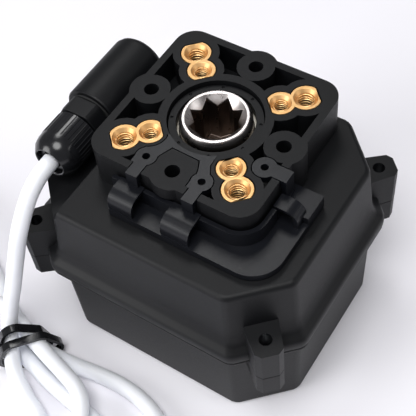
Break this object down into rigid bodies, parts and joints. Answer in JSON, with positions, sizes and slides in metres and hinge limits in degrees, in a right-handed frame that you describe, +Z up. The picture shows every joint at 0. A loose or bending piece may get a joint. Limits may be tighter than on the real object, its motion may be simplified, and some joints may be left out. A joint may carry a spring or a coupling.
{
  "type": "valve actuator",
  "caption": "Compact electric quarter-turn valve actuator with a mounting pad, double-square drive socket, key holder and a pre-wired cable gland",
  "frame": {"origin": "where the output drive axis meets the outer face of the cover, which is the face the part stands on", "axes": "+Z runs up the drive axis towards the valve mounting pad, +X along the long side of the case away from the cable entry, -Y the way the cable gland points"},
  "size_m": [0.169, 0.1345, 0.0729],
  "materials": {
    "housing_black": "fine satin moulding texture",
    "holder_slate": "smooth satin moulding, slightly bluish",
    "gland_black": "satin nylon",
    "gloss_black": "glossy",
    "rubber_black": "soft matt rubber",
    "brass": "bright turned brass",
    "bright_steel": "machined, bright",
    "gear_steel": "machined, lightly oiled",
    "zinc_steel": "zinc plated",
    "white_pvc": "smooth soft white sheath",
    "core_brown": "smooth insulation",
    "core_blue": "smooth insulation",
    "core_yellow": "smooth insulation",
    "natural_nylon": "natural, slightly translucent",
    "yellow_acetal": "smooth moulding",
    "clear_window": "clear moulding",
    "board_green": "solder resist",
    "terminal_green": "moulded",
    "blue_sleeve": "shrunk plastic sleeve"
  },
  "bodies": {
    "case": {"housing": "housing_black", "key_holder": "holder_slate", "cover": "housing_black", "cover_gasket": "rubber_black", "cover_screw_1": "zinc_steel", "cover_screw_2": "zinc_steel", "cover_screw_3": "zinc_steel", "cover_screw_4": "zinc_steel", "thread_insert_1": "brass", "thread_insert_2": "brass", "thread_insert_3": "brass", "thread_insert_4": "brass", "drive_ring": "housing_black", "drive_bush": "natural_nylon", "idler_arbor": "gear_steel", "motor_can": "zinc_steel", "gear_plate": "zinc_steel", "plate_screw_1": "zinc_steel", "plate_screw_2": "zinc_steel", "plate_screw_3": "zinc_steel", "plate_screw_4": "zinc_steel", "limit_switch_1": "gloss_black", "limit_switch_2": "gloss_black", "circuit_board": "board_green", "terminal_block": "terminal_green", "capacitor": "blue_sleeve", "relay": "gloss_black", "indicator_window": "clear_window", "gland_oring": "rubber_black", "gland_body": "gland_black", "gland_seal": "rubber_black", "gland_claws": "gloss_black", "inner_lead": "white_pvc", "lead_out": "white_pvc", "lead_coil": "white_pvc", "lead_back": "white_pvc", "lead_core_1": "core_brown", "lead_core_2": "core_blue", "lead_core_3": "core_yellow", "cable_tie": "gloss_black"},
    "drive": {"output_drive": "bright_steel", "output_gear": "gear_steel", "limit_cam_1": "yellow_acetal", "limit_cam_2": "yellow_acetal", "indicator_disc": "yellow_acetal"},
    "override": {"override_shaft": "gear_steel", "override_gear": "gear_steel"},
    "idler": {"idler_gear": "natural_nylon"},
    "rotor": {"motor_rotor": "gear_steel"},
    "lever_1": {"switch_lever_1": "zinc_steel"},
    "lever_2": {"switch_lever_2": "zinc_steel"},
    "plug": {"override_plug": "rubber_black"},
    "nut": {"gland_nut": "gloss_black"}
  },
  "joints": [
    {"name": "output_turn", "type": "hinge", "parent": "case", "child": "drive", "pos_m": [0, 0, 0.05], "axis": [0, 0, 1], "range_deg": [0, 90]},
    {"name": "override_turn", "type": "hinge", "parent": "case", "child": "override", "pos_m": [-0.00998, -0.02509, 0.04], "axis": [0, 0, 1], "range_deg": [-420, 60]},
    {"name": "idler_turn", "type": "hinge", "parent": "case", "child": "idler", "pos_m": [0.00602, -0.02509, 0.037], "axis": [0, 0, 1], "range_deg": [-180, 1260]},
    {"name": "motor_turn", "type": "hinge", "parent": "case", "child": "rotor", "pos_m": [0.02001, -0.01733, 0.03], "axis": [0, 0, 1], "range_deg": [-3780, 540]},
    {"name": "switch_lever_1_press", "type": "hinge", "parent": "case", "child": "lever_1", "pos_m": [-0.0091, -0.0039, 0.0165], "axis": [0, 0, 1], "range_deg": [0, 5], "stiffness_Nm_per_rad": 0.0005},
    {"name": "switch_lever_2_press", "type": "hinge", "parent": "case", "child": "lever_2", "pos_m": [0.0091, -0.0039, 0.022], "axis": [0, 0, 1], "range_deg": [-5, 0], "stiffness_Nm_per_rad": 0.0005},
    {"name": "override_plug_pull", "type": "slide", "parent": "case", "child": "plug", "axis": [0, 0, -1], "range_m": [0, 0.012]},
    {"name": "gland_nut_turn", "type": "hinge", "parent": "case", "child": "nut", "pos_m": [-0.036, -0.02, 0.0635], "axis": [0, 1, 0], "continuous": true}
  ],
  "couplings": [
    {"joint": "override_turn", "follows": "output_turn", "ratio": -4.4},
    {"joint": "idler_turn", "follows": "output_turn", "ratio": 13.2},
    {"joint": "motor_turn", "follows": "output_turn", "ratio": -39.6}
  ]
}
